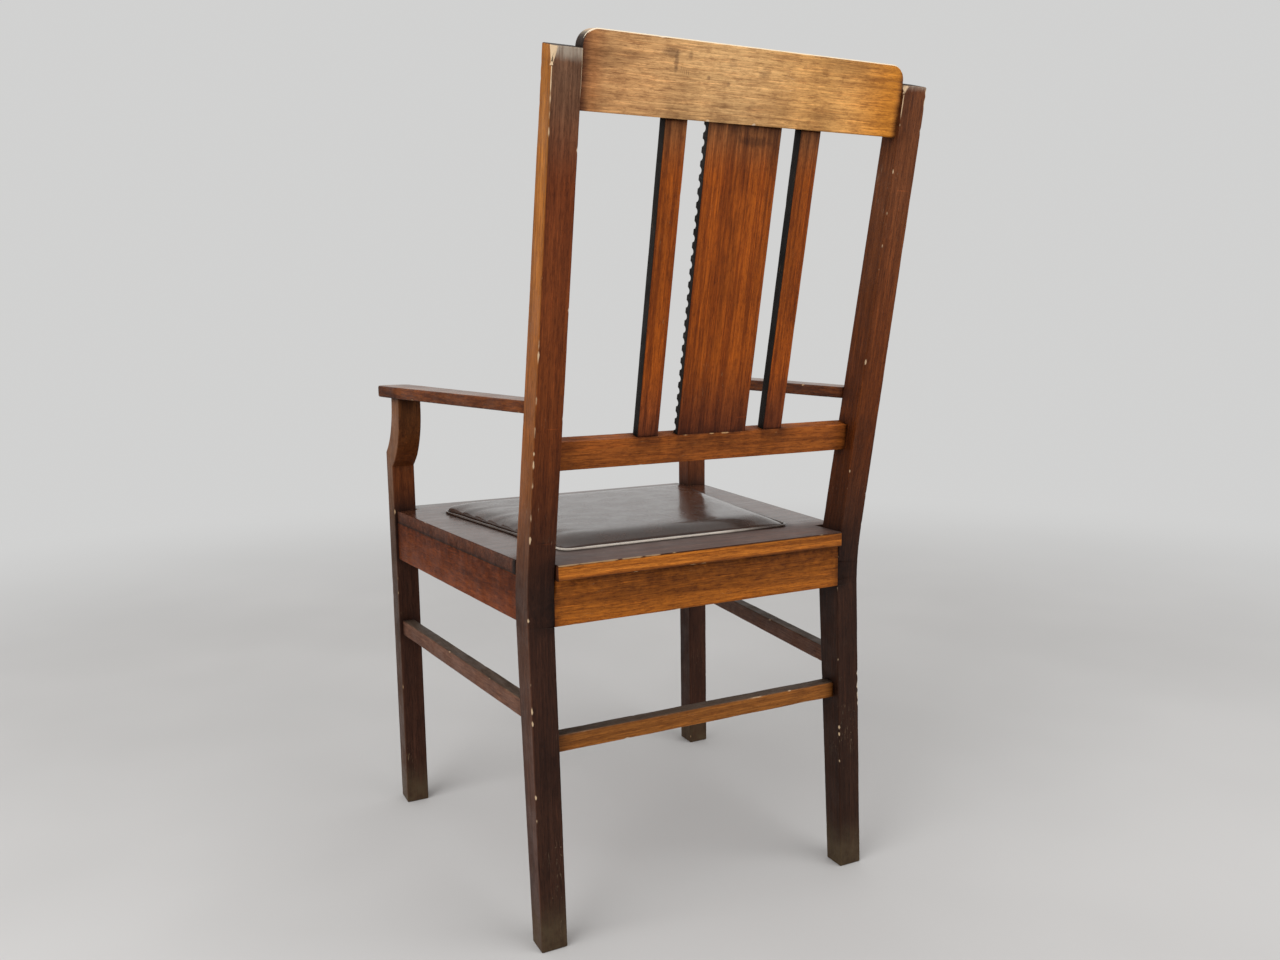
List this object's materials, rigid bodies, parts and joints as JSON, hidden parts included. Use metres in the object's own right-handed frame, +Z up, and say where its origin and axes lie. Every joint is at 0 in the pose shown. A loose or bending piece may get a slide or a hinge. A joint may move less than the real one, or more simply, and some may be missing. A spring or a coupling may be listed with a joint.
{
  "type": "open armchair",
  "caption": "Worn wooden open armchair with a raked slatted back, scalloped splat, flat arms and a leather seat pad.",
  "frame": {"origin": "on the floor, under the middle of the chair's box", "axes": "+Z up; the sitter faces -Y; +X to the sitter's left"},
  "size_m": [0.5482, 0.6006, 0.9952],
  "materials": {
    "post_wood": "dark red-brown stained beech, rubbed and chipped at the arrises",
    "rail_wood": "orange-brown stained beech, worn satin varnish",
    "crest_wood": "golden-tan stained beech, varnish rubbed away",
    "seat_wood": "dark brown plywood board, glossy old varnish, splintered orange rear edge",
    "pad_leather": "near-black brown glossy leather with a rolled edge",
    "raw_wood": "bare beech, inside the joints and under the seat",
    "screw_steel": "dull plain steel"
  },
  "bodies": {
    "root": {"rear_post_left": "post_wood", "rear_post_right": "post_wood", "front_post_left": "post_wood", "front_post_right": "post_wood", "crest_rail": "crest_wood", "lower_back_rail": "rail_wood", "centre_splat": "rail_wood", "back_slat_left": "rail_wood", "back_slat_right": "rail_wood", "front_seat_rail": "rail_wood", "rear_seat_rail": "rail_wood", "side_seat_rail_left": "rail_wood", "side_seat_rail_right": "rail_wood", "seat_board": "seat_wood", "seat_pad": "pad_leather", "arm_left": "post_wood", "arm_right": "post_wood", "side_stretcher_left": "rail_wood", "side_stretcher_right": "rail_wood", "rear_stretcher": "rail_wood", "corner_block_front_left": "raw_wood", "corner_block_front_right": "raw_wood", "corner_block_rear_left": "raw_wood", "corner_block_rear_right": "raw_wood", "seat_rail_dowels": "raw_wood", "lower_rail_dowels": "raw_wood", "crest_dowels": "raw_wood", "corner_block_screws": "screw_steel", "seat_board_screws": "screw_steel"}
  },
  "joints": []
}
